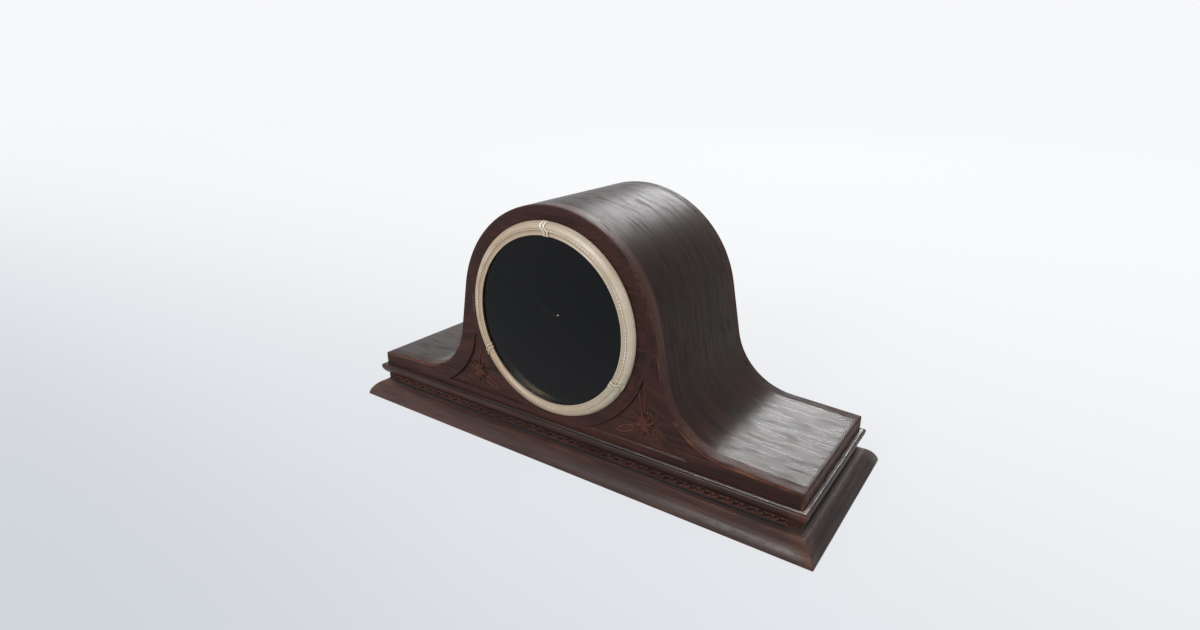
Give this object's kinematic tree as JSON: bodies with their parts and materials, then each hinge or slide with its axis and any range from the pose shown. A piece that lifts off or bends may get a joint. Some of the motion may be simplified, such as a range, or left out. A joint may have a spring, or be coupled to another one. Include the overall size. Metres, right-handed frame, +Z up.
{
  "type": "hump-backed shelf clock",
  "caption": "Hump-backed wooden shelf clock with moulded base, carved spandrels, hinged metal bezel with dark glass, back door and spring-driven pendulum movement.",
  "frame": {"origin": "middle of the underside of the base, on the surface that the clock stands on", "axes": "+X to the viewer's right along the base, +Y from the dial to the back, +Z up; the dial faces -Y"},
  "size_m": [0.5, 0.181, 0.235],
  "materials": {
    "case_wood": "dark stained hardwood, worn satin polish",
    "carved_wood": "dark carved hardwood, dull polish",
    "bezel_metal": "pale aged gilt metal, satin with tarnish",
    "dial_glass": "flat dark smoked glass, polished",
    "dial_black": "matt black paint",
    "mark_metal": "dark bronzed, satin",
    "hand_steel": "blued and blackened, satin",
    "fitting_brass": "aged brass, satin",
    "plate_brass": "rolled brass, brushed and lacquered",
    "movement_steel": "ground steel, lightly oiled"
  },
  "bodies": {
    "case": {"plinth": "case_wood", "frieze_board": "case_wood", "bead_moulding": "case_wood", "front_panel": "case_wood", "case_skin": "case_wood", "end_blocks": "case_wood", "back_panel": "case_wood", "frieze_carving": "carved_wood", "left_carving": "carved_wood", "right_carving": "carved_wood", "dial_plate": "dial_black", "hour_marks": "mark_metal", "dial_pan": "fitting_brass", "pan_screws": "fitting_brass", "bezel_hinge_studs": "fitting_brass", "bezel_hinge_pin": "fitting_brass", "frame_hinges": "fitting_brass", "door_hinge_pins": "fitting_brass", "button_screw": "fitting_brass", "front_plate": "plate_brass", "back_plate": "plate_brass", "pillars": "plate_brass", "suspension_cock": "plate_brass", "pillar_nuts": "movement_steel", "mounting_posts": "movement_steel", "mounting_screws": "movement_steel", "case_screws": "movement_steel", "click": "movement_steel", "cock_screws": "movement_steel"},
    "bezel": {"bezel_ring": "bezel_metal", "bezel_bands": "bezel_metal", "glass": "dial_glass", "glass_retainer": "fitting_brass", "bezel_hinge_leaf": "fitting_brass"},
    "back_door": {"back_door": "case_wood", "door_hinges": "fitting_brass", "door_knob": "fitting_brass"},
    "turn_button": {"turn_button": "fitting_brass"},
    "minute_hand": {"minute_hand": "hand_steel", "hand_nut": "hand_steel", "cannon_pinion": "movement_steel"},
    "hour_hand": {"hour_hand": "hand_steel", "hour_wheel": "plate_brass"},
    "minute_wheel": {"minute_wheel": "plate_brass"},
    "escape_wheel": {"escape_wheel": "plate_brass"},
    "third_wheel": {"third_wheel": "plate_brass"},
    "centre_wheel": {"centre_wheel": "plate_brass", "centre_arbor": "movement_steel"},
    "second_wheel": {"second_wheel": "plate_brass"},
    "barrel": {"barrel": "plate_brass", "barrel_cap": "plate_brass", "mainspring": "movement_steel"},
    "winding_arbor": {"winding_arbor": "movement_steel", "ratchet_wheel": "movement_steel"},
    "pendulum": {"anchor": "movement_steel", "crutch": "movement_steel", "suspension_spring": "movement_steel", "pendulum_rod": "movement_steel", "pendulum_bob": "plate_brass"},
    "rating_nut": {"rating_nut": "plate_brass"}
  },
  "joints": [
    {"name": "bezel_swing", "type": "hinge", "parent": "case", "child": "bezel", "pos_m": [-0.0902, -0.0759, 0.1341], "axis": [0, 0, -1], "range_deg": [0, 110]},
    {"name": "back_door_swing", "type": "hinge", "parent": "case", "child": "back_door", "pos_m": [0.075, 0.0761, 0.0961], "axis": [0, 0, -1], "range_deg": [0, 110]},
    {"name": "turn_button_turn", "type": "hinge", "parent": "case", "child": "turn_button", "pos_m": [-0.084, 0.0754, 0.0966], "axis": [0, 1, 0], "range_deg": [0, 90]},
    {"name": "minute_turn", "type": "hinge", "parent": "case", "child": "minute_hand", "pos_m": [0, -0.0719, 0.1341], "axis": [0, 1, 0], "continuous": true},
    {"name": "hour_turn", "type": "hinge", "parent": "case", "child": "hour_hand", "pos_m": [0, -0.0697, 0.1341], "axis": [0, 1, 0], "continuous": true},
    {"name": "minute_wheel_turn", "type": "hinge", "parent": "case", "child": "minute_wheel", "pos_m": [0.024, -0.055, 0.1341], "axis": [0, 1, 0], "continuous": true},
    {"name": "escape_turn", "type": "hinge", "parent": "case", "child": "escape_wheel", "pos_m": [0, -0.0224, 0.17322], "axis": [0, 1, 0], "continuous": true},
    {"name": "third_turn", "type": "hinge", "parent": "case", "child": "third_wheel", "pos_m": [-0.01605, -0.03, 0.15619], "axis": [0, 1, 0], "continuous": true},
    {"name": "centre_turn", "type": "hinge", "parent": "case", "child": "centre_wheel", "pos_m": [0, -0.036, 0.1341], "axis": [0, 1, 0], "continuous": true},
    {"name": "second_turn", "type": "hinge", "parent": "case", "child": "second_wheel", "pos_m": [0.01474, -0.045, 0.11029], "axis": [0, 1, 0], "continuous": true},
    {"name": "barrel_turn", "type": "hinge", "parent": "case", "child": "barrel", "pos_m": [0, -0.041, 0.0801], "axis": [0, 1, 0], "continuous": true},
    {"name": "winding_turn", "type": "hinge", "parent": "case", "child": "winding_arbor", "pos_m": [0, -0.06, 0.0801], "axis": [0, 1, 0], "continuous": true},
    {"name": "pendulum_swing", "type": "hinge", "parent": "case", "child": "pendulum", "pos_m": [0, -0.004, 0.19232], "axis": [0, 1, 0], "range_deg": [-3, 3]},
    {"name": "rating_nut_turn", "type": "hinge", "parent": "pendulum", "child": "rating_nut", "pos_m": [0, -0.004, 0.07332], "axis": [0, 0, 1], "continuous": true}
  ],
  "couplings": [
    {"joint": "hour_turn", "follows": "minute_turn", "ratio": 0.083333},
    {"joint": "minute_wheel_turn", "follows": "minute_turn", "ratio": -0.33333},
    {"joint": "third_turn", "follows": "escape_turn", "ratio": -0.083333},
    {"joint": "centre_turn", "follows": "escape_turn", "ratio": 0.0069444},
    {"joint": "second_turn", "follows": "escape_turn", "ratio": -0.0011574},
    {"joint": "barrel_turn", "follows": "escape_turn", "ratio": 0.0001929}
  ]
}
